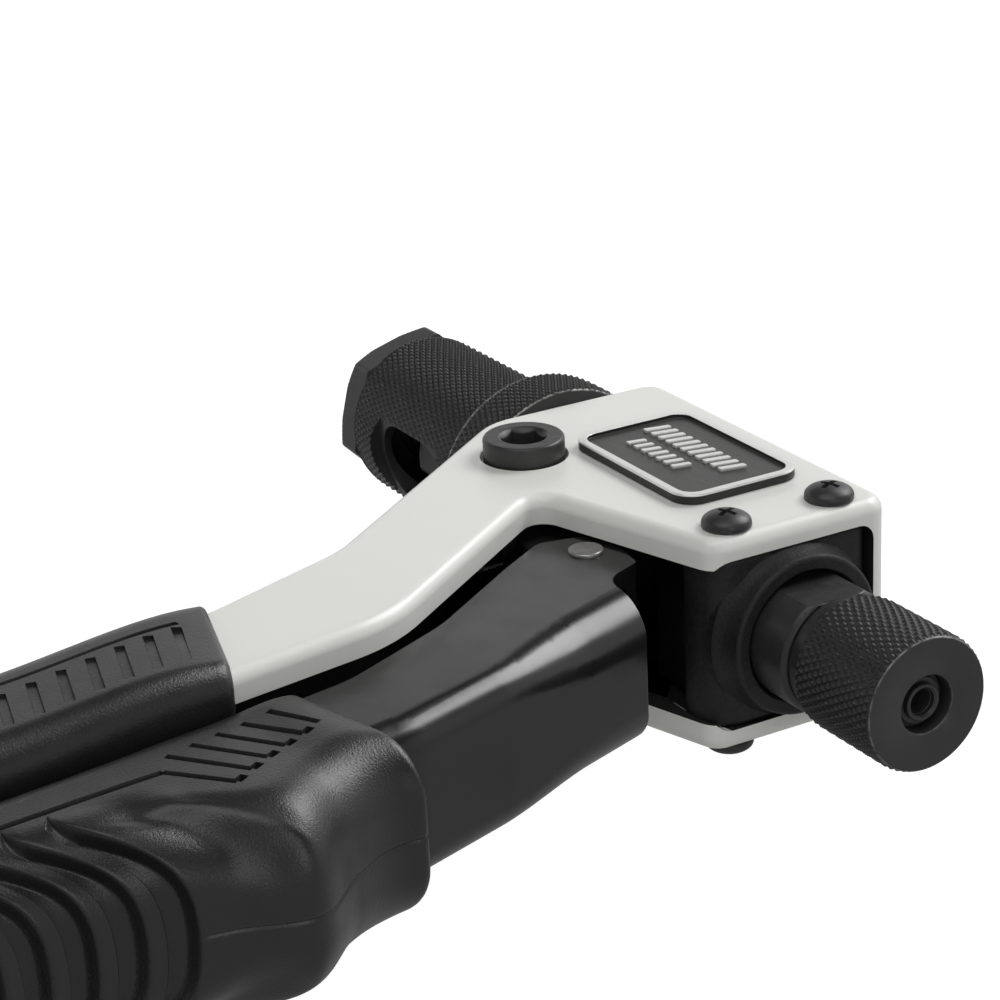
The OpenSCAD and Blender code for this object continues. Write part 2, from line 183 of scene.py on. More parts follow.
def smoothstep(low, high, value):
    t = np.clip((np.asarray(value, float) - low) / (high - low), 0, 1)
    return t * t * (3 - 2 * t)


def hill(value, middle, width):
    return np.exp(-((value - middle) / width) ** 2)


# ---- meshes ---------------------------------------------------------------------------------

def mesh_object(name, points, faces):
    mesh = bpy.data.meshes.new(name)
    mesh.from_pydata(points.tolist(), [], faces)
    bm = bmesh.new()
    bm.from_mesh(mesh)
    bmesh.ops.recalc_face_normals(bm, faces=bm.faces)
    bm.to_mesh(mesh)
    bm.free()
    obj = bpy.data.objects.new(name, mesh)
    bpy.context.scene.collection.objects.link(obj)
    return obj


def loft(name, rings, closed=False):
    """Skin through rings of points; closed joins the last ring to the first, or else both are capped"""
    rings = np.asarray(rings, float)
    count, sides = rings.shape[:2]
    i, j = np.meshgrid(np.arange(count if closed else count - 1), np.arange(sides), indexing="ij")
    k, m = (j + 1) % sides, (i + 1) % count
    faces = np.stack([i * sides + j, i * sides + k, m * sides + k, m * sides + j], -1)
    faces = faces.reshape(-1, 4).tolist()
    if not closed:
        faces += [list(range(sides)), list(range((count - 1) * sides, count * sides))]
    return mesh_object(name, to_frame(rings.reshape(-1, 3)), faces)


def slab(name, outline, low, high, soft=0.0, steps=5):
    """Plate between two heights; soft is the radius of its edges, one value or one per point"""
    normals = outward(outline)
    soft = np.broadcast_to(np.asarray(soft, float), (len(outline),))
    if soft.max() <= 0:
        return loft(name, [np.column_stack([outline, np.full(len(outline), z)]) for z in (low, high)])
    rings = []
    for z, side in ((low, 1), (high, -1)):
        arc = [np.column_stack([outline - normals * (soft * (1 - math.cos(a)))[:, None],
                                z + side * soft * (1 - math.sin(a))])
               for a in np.linspace(math.pi / 2, 0, steps + 1)]
        rings += arc if side > 0 else arc[::-1]
    return loft(name, rings)


def circle(radius, sides=96):
    turn = np.linspace(0, TAU, sides, endpoint=False)
    return np.stack([radius * np.cos(turn), radius * np.sin(turn)], 1)


def revolve(name, profile, sides=128, closed=True):
    """Turns [x, radius] points about the pulling axis"""
    rings = [np.column_stack([np.full(sides, x), circle(r, sides)]) for x, r in profile]
    return loft(name, rings, closed)


def lathe(name, centre, profile, sides=96):
    """Turns [radius, z] points about an upright axis through a plan point"""
    rings = [np.column_stack([circle(r, sides) + centre, np.full(sides, z)]) for r, z in profile]
    return loft(name, rings)


def peg(name, centre, low, high, radius):
    return lathe(name, centre, [[radius, low], [radius, high]])


def sweep(name, path, radius, sides=14):
    """Round wire along a path that stays off the upright"""
    path = np.asarray(path, float)
    run = np.gradient(path, axis=0)
    run /= np.linalg.norm(run, axis=1, keepdims=True)
    side = np.cross(run, [0, 0, 1])
    side /= np.linalg.norm(side, axis=1, keepdims=True)
    up = np.cross(side, run)
    ring = circle(radius, sides)
    rings = [p + ring[:, :1] * s + ring[:, 1:] * u for p, s, u in zip(path, side, up)]
    return loft(name, rings)


def trench(path, width, depth, height, side=1, floor=0.5):
    """Cutter for a groove along a plan path; height(p) is the surface over p, floor its narrowing"""
    path = even(path, 1.2, closed=False)
    run = np.gradient(path, axis=0)
    run /= np.linalg.norm(run, axis=1, keepdims=True)
    across = np.stack([run[:, 1], -run[:, 0]], 1) * width / 2
    rings = []
    for p, a in zip(path, across):
        z = height(p)
        rings.append([[*(p + a * u), side * (z + v)] for u, v in
                      ((-1.25, 1), (-1, 0.02), (-floor, -depth), (floor, -depth), (1, 0.02), (1.25, 1))])
    return loft("trench", rings)


def joined(name, objects):
    """One object that holds the meshes of several"""
    bm = bmesh.new()
    for obj in objects:
        bm.from_mesh(obj.data)
        bpy.data.objects.remove(obj)
    mesh = bpy.data.meshes.new(name)
    bm.to_mesh(mesh)
    bm.free()
    obj = bpy.data.objects.new(name, mesh)
    bpy.context.scene.collection.objects.link(obj)
    return obj


def apply_modifiers(obj):
    shape = obj.evaluated_get(bpy.context.evaluated_depsgraph_get())
    mesh = bpy.data.meshes.new_from_object(shape)
    obj.modifiers.clear()
    obj.data = mesh


def combine(obj, operation, *tools):
    for tool in tools:
        step = obj.modifiers.new("combine", "BOOLEAN")
        step.solver = "MANIFOLD"
        step.operation = operation
        step.object = tool
    apply_modifiers(obj)
    for tool in tools:
        bpy.data.objects.remove(tool)
    return obj


def cut(obj, *tools):
    return combine(obj, "DIFFERENCE", *tools)


def fuse(obj, *tools):
    return combine(obj, "UNION", *tools)


def soften(obj, width, angle=40, segments=2):
    """Rounds the sharp edges"""
    bm = bmesh.new()
    bm.from_mesh(obj.data)
    bmesh.ops.remove_doubles(bm, verts=bm.verts, dist=0.02 * MM)
    bmesh.ops.dissolve_limit(bm, angle_limit=math.radians(0.3), verts=bm.verts, edges=bm.edges)
    sharp = [e for e in bm.edges if len(e.link_faces) == 2
             and e.calc_face_angle(0) > math.radians(angle)]
    bmesh.ops.bevel(bm, geom=sharp, offset=width * MM, segments=segments, profile=0.5,
                    affect="EDGES", clamp_overlap=True)
    bm.to_mesh(obj.data)
    bm.free()


def shade(obj, angle=30, weighted=True):
    obj.data.shade_smooth()
    obj.data.set_sharp_from_angle(angle=math.radians(angle))
    if weighted:
        normals = obj.modifiers.new("normals", "WEIGHTED_NORMAL")
        normals.keep_sharp = True


def face_centres(obj):
    """Face centres in millimetres from the head, and the face normals"""
    faces = obj.data.polygons
    flat = np.zeros(3 * len(faces))
    faces.foreach_get("center", flat)
    centres = (flat.reshape(-1, 3) - HEAD) / MM
    faces.foreach_get("normal", flat)
    return centres, flat.reshape(-1, 3)


def paint_faces(obj, indices):
    obj.data.polygons.foreach_set("material_index", np.asarray(indices, np.int32))
    obj.data.update()


def piece(obj, body, slot, material, *nodes):
    """Finishes a new piece: its material, the body it rides on and the CAD nodes it stands for"""
    obj.data.materials.clear()
    for m in material if isinstance(material, list) else [material]:
        obj.data.materials.append(m)
    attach(obj, body)
    if nodes:
        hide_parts(*nodes)
    return obj


# ---- materials ------------------------------------------------------------------------------

class Shader:
    """Node tree of one material, with short calls for the nodes that the materials share"""

    def __init__(self, name):
        self.material = bpy.data.materials.new(name)
        self.material.use_nodes = True
        self.nodes = self.material.node_tree.nodes
        self.links = self.material.node_tree.links
        self.surface = self.nodes["Principled BSDF"]
        self.place = self.add("ShaderNodeTexCoord").outputs["Object"]

    def add(self, kind, settings=None, **inputs):
        node = self.nodes.new(kind)
        for key, value in (settings or {}).items():
            setattr(node, key, value)
        for key, value in inputs.items():
            self.put(node.inputs[key.replace("_", " ")], value)
        return node

    def put(self, socket, value):
        if isinstance(value, bpy.types.NodeSocket):
            self.links.new(value, socket)
        else:
            socket.default_value = value

    def set(self, **inputs):
        for key, value in inputs.items():
            self.put(self.surface.inputs[key.replace("_", " ")], value)

    def stretched(self, scale):
        """The place on the part, squeezed along an axis so that a texture is drawn out"""
        return self.add("ShaderNodeMapping", Vector=self.place, Scale=scale).outputs["Vector"]

    def noise(self, size_mm, detail=2.0, vector=None):
        """Noise whose blobs are about size_mm across, from 0 to 1"""
        node = self.add("ShaderNodeTexNoise", Vector=vector or self.place,
                        Scale=1 / (size_mm * MM), Detail=detail, Roughness=0.55)
        return node.outputs["Fac"]

    def ramp(self, value, low, high, to_low=0.0, to_high=1.0):
        node = self.add("ShaderNodeMapRange", Value=value, From_Min=low, From_Max=high,
                        To_Min=to_low, To_Max=to_high)
        return node.outputs["Result"]

    def math(self, operation, a, b):
        node = self.add("ShaderNodeMath", {"operation": operation})
        self.put(node.inputs[0], a)
        self.put(node.inputs[1], b)
        return node.outputs[0]

    def mix(self, share, a, b):
        node = self.add("ShaderNodeMix", {"data_type": "RGBA"})
        self.put(node.inputs["Factor"], share)
        self.put(node.inputs[6], a if isinstance(a, bpy.types.NodeSocket) else (*a, 1))
        self.put(node.inputs[7], b if isinstance(b, bpy.types.NodeSocket) else (*b, 1))
        return node.outputs[2]

    def attribute(self, name):
        return self.add("ShaderNodeAttribute", {"attribute_name": name}).outputs["Fac"]

    def bump(self, height, depth_mm, normal=None):
        """Tilts the surface as if height stood depth_mm proud"""
        node = self.add("ShaderNodeBump", Height=height, Distance=depth_mm * MM, Strength=1.0)
        if normal is not None:
            self.put(node.inputs["Normal"], normal)
        return node.outputs["Normal"]


def slot_colour(slot):
    """The record's base colour of a material slot"""
    return next(m["base_color"] for m in frame["record"]["materials"] if m["slot"] == slot)


def tint(colour, factor):
    return tuple(min(1.0, c * factor) for c in colour)


def white_paint():
    """Satin paint on a fine casting: a trace of orange peel, and faint clouds in the gloss"""
    s = Shader("white_paint")
    base = slot_colour("white_paint")
    s.set(Base_Color=s.mix(s.noise(14, 3), tint(base, 0.93), tint(base, 0.97)),
          Roughness=s.ramp(s.noise(6, 3), 0.3, 0.7, 0.29, 0.33),
          Normal=s.bump(s.noise(0.5, 2), 0.008, s.bump(s.noise(3.0, 2), 0.015)),
          Specular_IOR_Level=0.5)
    return s.material


def painted_shade_inside():
    """Near-black colour on the inside of the frame: painted shade where the inside of the casting falls dark"""
    s = Shader("painted_shade_inside")
    s.set(Base_Color=s.mix(s.noise(5, 4), (0.012, 0.012, 0.012), (0.025, 0.024, 0.023)),
          Roughness=0.65, Normal=s.bump(s.noise(0.6, 3), 0.06), Specular_IOR_Level=0.3)
    return s.material


def lever_paint():
    """Gloss black paint: soft waviness, and a few hairline scratches along the lever"""
    s = Shader("lever_paint")
    base = slot_colour("lever_paint")
    drawn_out = s.stretched((1.0, 0.04, 1.0))
    scratches = s.ramp(s.noise(0.30, 1, drawn_out), 0.74, 0.80)
    patches = s.ramp(s.noise(14, 2), 0.56, 0.66)
    scratched = s.math("MULTIPLY", scratches, patches)
    s.set(Base_Color=s.mix(scratched, tint(base, 0.4), (0.05, 0.05, 0.052)),
          Roughness=s.ramp(s.noise(9, 3), 0.3, 0.7, 0.19, 0.27),
          Normal=s.bump(s.noise(7, 2), 0.04, s.bump(s.noise(0.5, 2), 0.003)),
          Specular_IOR_Level=0.55)
    return s.material


def grip_rubber():
    """Moulded rubber with a fine spark-eroded grain and a soft sheen"""
    s = Shader("grip_rubber")
    base = slot_colour("grip_rubber")
    s.set(Base_Color=s.mix(s.noise(11, 4), tint(base, 0.40), tint(base, 0.60)),
          Roughness=s.ramp(s.noise(4, 4), 0.3, 0.7, 0.32, 0.38),
          Normal=s.bump(s.noise(0.36, 3), 0.055),
          Specular_IOR_Level=0.5)
    return s.material


def black_casting():
    """Grainy matte black of the head insert"""
    s = Shader("black_casting")
    base = slot_colour("black_casting")
    s.set(Base_Color=s.mix(s.noise(0.8, 5), tint(base, 0.12), tint(base, 0.55)),
          Roughness=s.ramp(s.noise(2.5, 4), 0.3, 0.7, 0.45, 0.60),
          Normal=s.bump(s.noise(0.45, 4), 0.11, s.bump(s.noise(3.0, 2), 0.08)),
          Specular_IOR_Level=0.32)
    return s.material


def black_oxide():
    """Blackened steel; the crests of a knurl are rubbed bright in spots"""
    s = Shader("black_oxide")
    base = slot_colour("black_oxide")
    crest = s.ramp(s.attribute("crest"), 0.80, 0.98)
    spots = s.ramp(s.noise(0.8, 3), 0.58, 0.68)
    rubbed = s.math("MULTIPLY", s.attribute("worn"), s.ramp(s.noise(1.4, 3), 0.36, 0.62))
    worn = s.math("MAXIMUM", s.math("MULTIPLY", crest, spots), rubbed)
    oxide = s.mix(s.noise(3, 4), tint(base, 0.34), tint(base, 0.56))
    s.set(Base_Color=s.mix(worn, oxide, (0.42, 0.41, 0.39)),
          Metallic=s.ramp(worn, 0, 1, 0.0, 0.9),
          Roughness=s.ramp(s.noise(1.5, 3), 0.3, 0.7, 0.36, 0.48),
          Normal=s.bump(s.noise(0.3, 2), 0.012), Specular_IOR_Level=0.5)
    return s.material


def zinc_steel():
    """Bright plated steel with turning marks"""
    s = Shader("zinc_steel")
    base = slot_colour("zinc_steel")
    turned = s.noise(0.25, 2, s.stretched((1.0, 0.2, 0.2)))
    s.set(Base_Color=s.mix(s.noise(1.5, 3), tint(base, 0.8), tint(base, 1.2)), Metallic=1.0,
          Roughness=s.ramp(turned, 0.3, 0.7, 0.22, 0.38), Normal=s.bump(turned, 0.01))
    return s.material


def dull_steel():
    """Greyed end of the peened pin"""
    s = Shader("dull_steel")
    s.set(Base_Color=s.mix(s.noise(1.0, 4), (0.24, 0.24, 0.24), (0.46, 0.45, 0.44)), Metallic=0.85,
          Roughness=s.ramp(s.noise(0.8, 3), 0.3, 0.7, 0.3, 0.45), Normal=s.bump(s.noise(0.5, 3), 0.04))
    return s.material


def plate_rim():
    """Polished rim and raised marks of the nameplate"""
    s = Shader("plate_rim")
    s.set(Base_Color=s.mix(s.noise(2, 3), (0.74, 0.74, 0.72), (0.84, 0.84, 0.82)), Metallic=0.5,
          Roughness=s.ramp(s.noise(0.8, 3), 0.3, 0.7, 0.28, 0.42), Normal=s.bump(s.noise(0.4, 2), 0.008))
    return s.material


def plate_field():
    """Dark grained field of the nameplate"""
    s = Shader("plate_field")
    brushed = s.noise(0.4, 2, s.stretched((0.08, 1.0, 1.0)))
    s.set(Base_Color=s.mix(brushed, (0.030, 0.030, 0.029), (0.062, 0.062, 0.060)), Metallic=0.2,
          Roughness=s.ramp(brushed, 0.3, 0.7, 0.34, 0.46),
          Normal=s.bump(brushed, 0.015, s.bump(s.noise(0.25, 2), 0.01)))
    return s.material


def plate_edge():
    """Black edge of the nameplate"""
    s = Shader("plate_edge")
    s.set(Base_Color=s.mix(s.noise(1, 3), (0.005, 0.005, 0.005), (0.014, 0.014, 0.013)),
          Roughness=s.ramp(s.noise(0.7, 3), 0.3, 0.7, 0.35, 0.5), Normal=s.bump(s.noise(0.3, 2), 0.01))
    return s.material


FLOOR_GLOW = 0.30        # light that the floor throws up


def pale_floor():
    """White sheet that looks white to the camera but throws less light on the underside"""
    s = Shader("pale_floor")
    seen = s.add("ShaderNodeLightPath").outputs["Is Camera Ray"]
    s.set(Base_Color=s.mix(s.noise(60, 3), (0.16, 0.16, 0.16), (0.18, 0.18, 0.18)), Roughness=0.9,
          Emission_Color=(1, 1, 1, 1), Emission_Strength=s.ramp(seen, 0, 1, FLOOR_GLOW, 0.98),
          Specular_IOR_Level=0.0)
    return s.material


WHITE = white_paint()
SHADE_INSIDE = painted_shade_inside()
GLOSS = lever_paint()
RUBBER = grip_rubber()
CASTING = black_casting()
OXIDE = black_oxide()
ZINC = zinc_steel()
DULL = dull_steel()
PLATE = [plate_edge(), plate_rim(), plate_field()]


# ---- frame and what is fixed to it ----------------------------------------------------------

def frame_body():
    """Hollow casting with its mouth, its front bore and the flats under the bolt and the nut"""
    outline = rounded(FRAME_PLAN)
    body = slab("frame_body", outline, -HALF_T, HALF_T, soft=2.2, steps=6)
    inner = HALF_T - PLATE_T
    cavity = inset(FRAME_PLAN, [PLATE_T] * 6 + [3, 3, 3, 3, -8])
    rear = [[-30, -14.7, 3], [6, -14.7, 1], [6, 15.6, 1], [-14, 15.6, 1], [-30, 12, 1]]
    mouth = [[-16, 11.5, 1], [19.5, 22.4, 1], [12, 36, 1], [-3.6, 58, 1],
             [-11.4, 78, 1], [-14.8, 96, 1], [-44, 262, 1], [-80, 262, 1], [-80, 11.5, 1]]
    cut(body,
        slab("cavity", rounded(cavity), -inner, inner, soft=2.6),
        slab("rear", rounded(rear), -inner, inner, soft=2.6),
        slab("mouth", rounded(mouth, 1.5), -MOUTH, MOUTH),
        revolve("bore", [[40, 12.05], [52, 12.05]], closed=False),
        peg("bolt_hole", PIVOT, -20, 20, 4.2),
        *[peg("recess", PIVOT, side * HALF_T - 1.6, side * HALF_T + 1.6, 7.2) for side in (-1, 1)])
    soften(body, 0.5)
    shade(body)
    piece(body, "frame", "white_paint", [WHITE, SHADE_INSIDE], "frame")
    # Faces deep in the mouth and the cavity take the second, near-black material: painted shade for the dark
    # inside of the frame
    centres = face_centres(body)[0]
    depth = np.min(np.linalg.norm(centres[:, None, :2] - outline[None], axis=2), axis=1)
    height = np.abs(centres[:, 2])
    in_mouth = (depth > 0.7) & (height < MOUTH + 0.4)
    in_cavity = (depth > PLATE_T + 0.3) & (height < inner + 0.3)
    paint_faces(body, in_mouth | in_cavity)


def head_insert():
    """Black casting with a soft-edged body and a boss that flares into it"""
    plan = [[-18.6, -14.3, 3], [4, -14.3, 1], [4, 10.8, 1], [-8.5, 10.8, 1.5], [-11, 15.3, 1.5],
            [-18.6, 15.3, 6]]
    body = slab("insert", rounded(plan, 0.4), -INSERT_HALF, INSERT_HALF, soft=1.0)
    rear = -22.2
    flare = [[rear + 4.4 * t, 12.9 + 0.3 * t + 1.5 * t ** 3] for t in np.linspace(0, 1, 12)]
    boss = revolve("boss", [[rear, 1], [rear, 12.2], [rear + 0.08, 12.6], *flare[1:], [-10, 14.7], [-10, 1]])
    block = [[-30, -14.3, 1], [-5, -14.3, 1], [-5, 15.4, 1], [-30, 15.4, 1]]
    combine(boss, "INTERSECT", slab("block", rounded(block), -INSERT_HALF, INSERT_HALF))
    fuse(body, boss)
    bore = [[-24, 11.6], [-22.25, 10.9], [-21.5, 10.35], [-3.8, 10.35], [-3.8, 6.1], [10, 6.1]]
    cut(body, revolve("bore", bore, closed=False))
    for x, y in SCREWS:
        for low, high in ((8.5, 20), (-20, -8.5)):
            cut(body, peg("hole", [x, y], low, high, 2.03))
    soften(body, 0.25, segments=1)
    shade(body, 40)
    piece(body, "frame", "black_casting", CASTING, "head_insert")


def nameplate():
    """Plate with a bright rim round a sunk dark field, and plain slanted bars on the field"""
    top = HALF_T + 1.7
    field = HALF_T + 1.1
    body = slab("nameplate_body", rounded(PLATE_PLAN, 0.4), HALF_T, top, soft=0.3, steps=3)
    cut(body, slab("pocket", rounded(inset(PLATE_PLAN, [PLATE_RIM] * 4), 0.4), field, top + 2))
    soften(body, 0.12, segments=1)
    shade(body)
    piece(body, "frame", "plate_metal", PLATE, "nameplate")
    centres, normals = face_centres(body)
    bright = (centres[:, 2] > top - 0.28) & (normals[:, 2] > 0.2)
    sunk = np.abs(centres[:, 2] - field) < 0.16
    paint_faces(body, np.where(bright, 1, np.where(sunk, 2, 0)))
    bars = []
    pitch, corner = 2.15, 0.2
    for count, x, y, width, length, lean in ((11, 2.6, -3.4, 1.1, 4.4, 0.9), (7, 8.0, 2.6, 1.0, 3.2, 0.65)):
        low, high = y - length / 2, y + length / 2
        for i in range(count):
            near = x + pitch * i
            far = near - lean
            bar = [[far, low, corner], [far + width, low, corner],
                   [near + width, high, corner], [near, high, corner]]
            bars.append(slab("bar", rounded(bar, 0.2), field - 0.05, top - 0.1, soft=0.08, steps=2))
    marks = joined("nameplate_bars", bars)
    shade(marks)
    piece(marks, "frame", "plate_metal", PLATE[1])


def plate_screws():
    """Pan heads with a cross recess"""
    heads = []
    for side in (1, -1):
        for x, y in SCREWS:
            dome = [[3.85 * math.cos(a), 0.75 + 1.75 * math.sin(a)] for a in np.linspace(0, 1.5, 14)]
            profile = [[2, -8.5], [2, 0.02], [3.6, 0.0], [3.85, 0.25], *dome]
            head = lathe("head", [x, y], [[r, side * (HALF_T + z)] for r, z in profile], 72)
            for turn in (0.35, 0.35 + math.pi / 2):
                run = np.array([math.cos(turn), math.sin(turn)])
                over = np.array([-run[1], run[0]])
                rings = []
                for z, long, wide in ((1.1, 0.7, 0.28), (2.3, 1.75, 0.42), (3.2, 2.1, 0.5)):
                    corners = [[x, y] + run * long * u + over * wide * v
                               for u, v in ((1, 1), (-1, 1), (-1, -1), (1, -1))]
                    rings.append([[*corner, side * (HALF_T + z)] for corner in corners])
                cut(head, loft("slot", rings))
            heads.append(head)
    body = joined("pan_heads", heads)
    soften(body, 0.1, segments=1)
    shade(body, 35)
    piece(body, "frame", "black_oxide", OXIDE, "plate_screws")


def pivot_bolt():
    """Socket head with a rounded shoulder, on its shank"""
    shoulder = [[6.05 + 0.6 * math.cos(a), 20.3 + 0.6 * math.sin(a)] for a in np.linspace(0, 1.45, 7)]
    body = lathe("socket_screw", PIVOT, [[4, -17.3], [4, 15.9], [6.35, 15.9], [6.65, 16.2], *shoulder])
    hexagon = np.array([[3.7 * math.cos(a), 3.7 * math.sin(a)] for a in np.arange(6) * TAU / 6])
    cut(body, slab("socket", hexagon + PIVOT, HALF_T, 22),
        lathe("lead", PIVOT, [[3.2, 20.0], [4.3, 21.1]]))
    soften(body, 0.15, 35, segments=1)
    shade(body, 35)
    piece(body, "frame", "black_oxide", OXIDE, "pivot_bolt")


def hex_radius(turn, flats, corner):
    """Radius of a hexagon, turned down to a corner radius"""
    local = turn % (TAU / 6) - TAU / 12
    return np.minimum(flats / 2 / np.cos(local), corner)


def pivot_nut():
    """Hexagon nut with a turned-down face, let into the far plate"""
    sides = 144
    turn = np.linspace(0, TAU, sides, endpoint=False)
    run = circle(1, sides)
    rings = []
    for z, cap in ((1.6, 7), (-2.6, 7), (-2.9, 6.8), (-3.2, 6.45), (-3.4, 6.0)):
        radius = hex_radius(turn, 2 * 7 * math.cos(TAU / 12), cap)
        rings.append(np.column_stack([run * radius[:, None] + PIVOT, np.full(sides, -HALF_T + z)]))
    for z, radius in ((-3.4, 4.4), (-3.1, 4.05), (1.6, 4.05)):
        rings.append(np.column_stack([run * radius + PIVOT, np.full(sides, -HALF_T + z)]))
    body = loft("nut", rings, closed=True)
    shade(body, 25)
    piece(body, "frame", "black_oxide", OXIDE, "pivot_nut")


def return_spring():
    """Wire from a leg on the spine, round the bolt and out to a leg on the pin"""
    radius, half = 6.5, 3.0
    turns = 3.732 * TAU
    a = np.linspace(math.pi, math.pi + turns, 260)
    coil = np.column_stack([np.stack([np.cos(a), np.sin(a)], 1) * radius,
                            np.linspace(half, -half, len(a))])
    last = a[-1]
    leg = coil[-1] + 35 * np.array([-math.sin(last), math.cos(last), 0])
    first = even([[-radius, 21.5, half], coil[0]], 1.5, closed=False)
    end = even([coil[-1], leg], 1.5, closed=False)
    path = np.concatenate([first[:-1], coil, end[1:]]) + [*PIVOT, 0]
    body = sweep("spring_wire", path, 0.8)
    shade(body, 60, weighted=False)
    piece(body, "frame", "zinc_steel", ZINC, "return_spring")


# ---- lever ----------------------------------------------------------------------------------

def lever_body():
    """Channel pressed from sheet: round at the back and open to the frame"""
    outline = rounded([*LEVER_PLAN[3:], [*LEVER_BACK[0], 1]])
    from_back = np.min([near_line(outline, a, b) for a, b in zip(LEVER_BACK, LEVER_BACK[1:])], 0)
    edge = 0.5
    round_back = 7.5 - 2.7 * smoothstep(38, 58, outline[:, 1])
    soft = edge + (round_back - edge) * (1 - smoothstep(0.3, 4.5, from_back))
    body = slab("lever_body", outline, -LEVER_HALF, LEVER_HALF, soft=soft, steps=10)
    combine(body, "INTERSECT", slab("plan", rounded(LEVER_PLAN), -20, 20))
    inner = inset(LEVER_PLAN, [-6, SHEET, -6, -6, -6, -6, -6, -6, -6, SHEET, SHEET, SHEET])
    cut(body, slab("hollow", rounded(inner), -LEVER_HALF + SHEET, LEVER_HALF - SHEET, soft=3.5))
    soften(body, 0.35)
    shade(body)
    piece(body, "lever", "lever_paint", GLOSS, "lever")


def yoke_rivet():
    """Pin through the lever and the yoke, with flat peened ends"""
    half = LEVER_HALF + 0.52
    rim = [[2.45 + 0.3 * math.cos(a), half - 0.3 + 0.3 * math.sin(a)] for a in np.linspace(0, 1.5, 5)]
    top = [[2.75, LEVER_HALF - 0.05], *rim, [1.2, half], [0.4, half - 0.12]]
    low = [[r, -z] for r, z in top[::-1]]
    body = lathe("peened_pin", PIN, [*low, [2.5, -LEVER_HALF + 0.1], [2.5, LEVER_HALF - 0.1], *top])
    shade(body, 40)
    piece(body, "lever", "zinc_steel", DULL, "yoke_rivet")


# ---- grips ----------------------------------------------------------------------------------

def section_columns(flats, arcs):
    """How each column of a grip's section follows its half width, half height, far and near radius"""
    corners = []
    for k, (sx, sz, radius) in enumerate(((1, 1, 2), (-1, 1, 3), (-1, -1, 3), (1, -1, 2))):
        rows = []
        for a in np.linspace(k, k + 1, arcs[radius - 2] + 1) * math.pi / 2:
            row = np.zeros((2, 4))
            row[0, 0], row[1, 1] = sx, sz
            row[:, radius] = math.cos(a) - sx, math.sin(a) - sz
            rows.append(row)
        corners.append(rows)
    columns = []
    for k, rows in enumerate(corners):
        columns += rows
        start, end = rows[-1], corners[(k + 1) % 4][0]
        columns += [start + (end - start) * t for t in np.linspace(0, 1, flats[k] + 1)[1:-1]]
    return np.array(columns)


def spline(keys, at, values):
    """Smooth curve through values at the given keys"""
    slopes = np.gradient(values, keys, axis=0)
    i = np.clip(np.searchsorted(keys, at) - 1, 0, len(keys) - 2)
    gap = (keys[i + 1] - keys[i])[..., None]
    t = (at[..., None] - keys[i][..., None]) / gap
    m, n = slopes[i] * gap, slopes[i + 1] * gap
    return ((2 * t ** 3 - 3 * t ** 2 + 1) * values[i] + (t ** 3 - 2 * t ** 2 + t) * m
            + (3 * t ** 2 - 2 * t ** 3) * values[i + 1] + (t ** 3 - t ** 2) * n)


def grip_keys(stations):
    """Distance of each station along the middle line"""
    middle = (stations[:, :2] + stations[:, 2:4]) / 2
    return np.concatenate([[0], np.cumsum(np.linalg.norm(np.diff(middle, axis=0), axis=1))])


def end_steps(length, rim):
    """Places of the rings that round the two ends"""
    arc = rim * (1 - np.cos(np.linspace(0, math.pi / 2, 6)))
    return arc, length - arc[::-1]


def grip_points(stations, at, columns, rim):
    """Points of a grip for each ring and column; at holds their distance along the middle line"""
    keys = grip_keys(stations)
    shape = spline(keys, np.clip(at, 0, keys[-1]), stations)
    far, near = shape[..., :2], shape[..., 2:4]
    across = far - near
    width = np.linalg.norm(across, axis=-1)
    from_end = np.clip(np.minimum(at, keys[-1] - at), 0, rim)
    drawn_in = rim - np.sqrt(rim ** 2 - (rim - from_end) ** 2)
    size = np.stack([width / 2, shape[..., 4], shape[..., 5], shape[..., 6]], -1) - drawn_in[..., None]
    local = np.einsum("cij,rcj->rci", columns, size)
    plan = (far + near) / 2 + local[..., :1] * across / width[..., None]
    return np.concatenate([plan, local[..., 1:]], -1)


def ring_normals(rings):
    """Outward unit normals of a grip's points"""
    around = np.roll(rings, -1, 1) - np.roll(rings, 1, 1)
    along = np.gradient(rings, axis=0)
    normals = np.cross(around, along)
    normals /= np.linalg.norm(normals, axis=2, keepdims=True) + 1e-9
    centre = rings.mean(1, keepdims=True)
    return normals * np.sign(((rings - centre) * normals).sum((1, 2), keepdims=True))


SECTION_LEAN = 0.2       # how far a grip's sections lean from square to the handle side


def grip_height(stations):
    """Function that gives a grip's half height over a plan point"""
    keys = grip_keys(stations)
    middle = (stations[:, :2] + stations[:, 2:4]) / 2

    def height(p):
        y = p[1] - SECTION_LEAN * (p[0] - np.interp(p[1], middle[:, 1], middle[:, 0]))
        at = np.interp(y, middle[:, 1], keys)
        far_x, far_y, near_x, near_y, high, far_r, near_r = spline(keys, np.array([at]), stations)[0]
        far, near = np.array([far_x, far_y]), np.array([near_x, near_y])
        width = np.linalg.norm(far - near)
        across = (p - (far + near) / 2) @ (far - near) / width
        radius = far_r if across > 0 else near_r
        over = min(max(0.0, abs(across) - width / 2 + radius), 0.9 * radius)
        return high - radius + math.sqrt(radius ** 2 - over ** 2)
    return height


PANEL_COUNT = 28
PANEL_START = np.array([[-3.6, 94.6], [-14.2, 97.6]])      # far and near end of the first panel
PANEL_STEP = np.array([[-1.02, 4.72], [-0.84, 4.60]])


